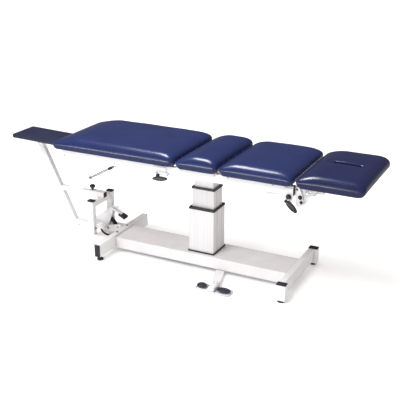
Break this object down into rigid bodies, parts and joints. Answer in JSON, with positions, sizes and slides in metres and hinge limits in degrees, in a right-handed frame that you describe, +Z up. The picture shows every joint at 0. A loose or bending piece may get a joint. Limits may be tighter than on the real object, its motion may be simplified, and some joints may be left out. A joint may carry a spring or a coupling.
{
  "type": "medical exam table",
  "caption": "Height-adjustable medical exam and traction table: padded sections on a telescopic column, sliding leg section, tilting head section and a traction stand with a shelf.",
  "frame": {"origin": "middle of the bounding box's footprint, at floor level", "axes": "+X along the table towards the head section, +Y towards the rear long side, +Z up; the front long side with the levers and foot switch faces -Y"},
  "size_m": [2.6056, 0.83, 0.845],
  "materials": {
    "white_paint": "white powder coat, satin",
    "silver_alloy": "pale satin extrusion",
    "black_plastic": "black moulded plastic, fine grain",
    "black_rubber": "black rubber, matt",
    "wheel_tyre": "solid black rubber tread",
    "hub_plastic": "pale grey moulded hub",
    "motor_grey": "dark grey enamel",
    "bright_steel": "bright plated steel",
    "plywood": "bare plywood",
    "navy_vinyl": "navy upholstery vinyl with a fine grain, semi-gloss",
    "shelf_laminate": "very dark navy laminate, matt"
  },
  "bodies": {
    "base": {"base_beam": "white_paint", "left_crossbar": "white_paint", "left_crossbar_cap_front": "black_plastic", "left_crossbar_cap_rear": "black_plastic", "right_foot_frame": "white_paint", "right_leg_cap_front": "black_plastic", "right_leg_cap_rear": "black_plastic", "levelling_foot_left_front": "black_rubber", "levelling_foot_left_rear": "black_rubber", "levelling_foot_right_front": "black_rubber", "levelling_foot_right_rear": "black_rubber", "column_foot_collar": "black_plastic", "column_lower_stage": "silver_alloy", "column_lower_collar": "black_plastic", "lift_outer_tube": "motor_grey", "lift_motor": "motor_grey", "control_box": "motor_grey", "stand_base_frame": "white_paint", "stand_post_cap_front": "black_plastic", "stand_post_cap_rear": "black_plastic", "footswitch_base": "white_paint", "footswitch_arm": "white_paint", "power_cord": "black_rubber"},
    "middle_stage": {"column_middle_stage": "silver_alloy", "column_middle_collar": "black_plastic", "lift_middle_tube": "bright_steel"},
    "top_frame": {"column_upper_stage": "silver_alloy", "lift_rod": "bright_steel", "deck_frame": "white_paint", "deck_rail_cap_front": "black_plastic", "deck_rail_cap_rear": "black_plastic", "head_hinge_pin": "bright_steel", "seat_board": "plywood", "back_board": "plywood", "seat_cushion": "navy_vinyl", "back_cushion": "navy_vinyl"},
    "head_section": {"head_frame": "white_paint", "head_board": "plywood", "head_cushion": "navy_vinyl"},
    "gas_cylinder": {"gas_spring_cylinder": "white_paint"},
    "gas_rod": {"gas_spring_rod": "bright_steel"},
    "leg_section": {"leg_carriage": "white_paint", "leg_board": "plywood", "leg_cushion": "navy_vinyl"},
    "roller_axle_left": {"roller_axle_left": "bright_steel"},
    "roller_axle_right": {"roller_axle_right": "bright_steel"},
    "leg_lock": {"leg_lock_lever": "black_plastic"},
    "section_lock": {"section_lock_lever": "black_plastic"},
    "head_lock": {"head_lock_lever": "black_plastic"},
    "traction_stand": {"stand_frame": "white_paint", "stand_arm_plug_upper": "black_plastic", "stand_arm_plug_lower": "black_plastic", "shelf_board": "shelf_laminate"},
    "clamp_knob": {"stand_clamp_knob": "black_plastic"},
    "wheel_lever": {"wheel_lever": "white_paint", "wheel_pedal_pad": "black_rubber"},
    "wheel": {"transport_wheel_tyre": "wheel_tyre", "transport_wheel_hub": "hub_plastic"},
    "pedal_raise": {"pedal_raise": "black_plastic"},
    "pedal_lower": {"pedal_lower": "black_plastic"}
  },
  "joints": [
    {"name": "lift_lower", "type": "slide", "parent": "base", "child": "middle_stage", "axis": [0, 0, 1], "range_m": [-0.124, 0.06]},
    {"name": "lift_upper", "type": "slide", "parent": "middle_stage", "child": "top_frame", "axis": [0, 0, 1], "range_m": [-0.124, 0.06]},
    {"name": "head_tilt", "type": "hinge", "parent": "top_frame", "child": "head_section", "pos_m": [0.88822, 0, 0.73], "axis": [0, 1, 0], "range_deg": [-10, 60]},
    {"name": "gas_cylinder_pivot", "type": "hinge", "parent": "top_frame", "child": "gas_cylinder", "pos_m": [0.68882, -0.2, 0.655], "axis": [0, 1, 0], "range_deg": [-4, 22]},
    {"name": "gas_rod_pivot", "type": "hinge", "parent": "head_section", "child": "gas_rod", "pos_m": [1.02882, -0.2, 0.704], "axis": [0, 1, 0], "range_deg": [-38.5, 6.6]},
    {"name": "leg_slide", "type": "slide", "parent": "top_frame", "child": "leg_section", "axis": [-1, 0, 0], "range_m": [0, 0.07]},
    {"name": "roller_spin_left", "type": "hinge", "parent": "leg_section", "child": "roller_axle_left", "pos_m": [-0.61118, 0, 0.712], "axis": [0, 1, 0], "range_deg": [-160, 0]},
    {"name": "roller_spin_right", "type": "hinge", "parent": "leg_section", "child": "roller_axle_right", "pos_m": [-0.06118, 0, 0.712], "axis": [0, 1, 0], "range_deg": [-160, 0]},
    {"name": "leg_lock_turn", "type": "hinge", "parent": "top_frame", "child": "leg_lock", "pos_m": [-0.37518, -0.236, 0.669], "axis": [0, 1, 0], "range_deg": [-25, 28]},
    {"name": "section_lock_turn", "type": "hinge", "parent": "top_frame", "child": "section_lock", "pos_m": [-0.03368, -0.28, 0.69], "axis": [0, 1, 0], "range_deg": [0, 50]},
    {"name": "head_lock_turn", "type": "hinge", "parent": "top_frame", "child": "head_lock", "pos_m": [0.85282, -0.28, 0.67], "axis": [0, 1, 0], "range_deg": [-34, 10]},
    {"name": "stand_slide", "type": "slide", "parent": "base", "child": "traction_stand", "axis": [-1, 0, 0], "range_m": [0, 0.12]},
    {"name": "clamp_knob_turn", "type": "hinge", "parent": "base", "child": "clamp_knob", "pos_m": [-0.71618, 0, 0.375], "axis": [0, 0, 1], "range_deg": [-180, 180]},
    {"name": "wheel_lever_press", "type": "hinge", "parent": "base", "child": "wheel_lever", "pos_m": [-0.74118, 0.06, 0.128], "axis": [0, 1, 0], "range_deg": [0, 7]},
    {"name": "wheel_spin", "type": "hinge", "parent": "wheel_lever", "child": "wheel", "pos_m": [-0.63118, 0.06, 0.089], "axis": [0, 1, 0], "continuous": true},
    {"name": "pedal_raise_press", "type": "hinge", "parent": "base", "child": "pedal_raise", "pos_m": [0.37482, -0.352, 0.014], "axis": [0, -1, 0], "range_deg": [0, 2.9]},
    {"name": "pedal_lower_press", "type": "hinge", "parent": "base", "child": "pedal_lower", "pos_m": [0.43382, -0.352, 0.014], "axis": [0, 1, 0], "range_deg": [0, 2.9]}
  ],
  "couplings": [
    {"joint": "lift_upper", "follows": "lift_lower", "ratio": 1},
    {"joint": "gas_cylinder_pivot", "follows": "head_tilt", "ratio": 0.363},
    {"joint": "gas_rod_pivot", "follows": "head_tilt", "ratio": -0.637},
    {"joint": "roller_spin_left", "follows": "leg_slide", "rad_per_m": -39.37},
    {"joint": "roller_spin_right", "follows": "leg_slide", "rad_per_m": -39.37}
  ]
}
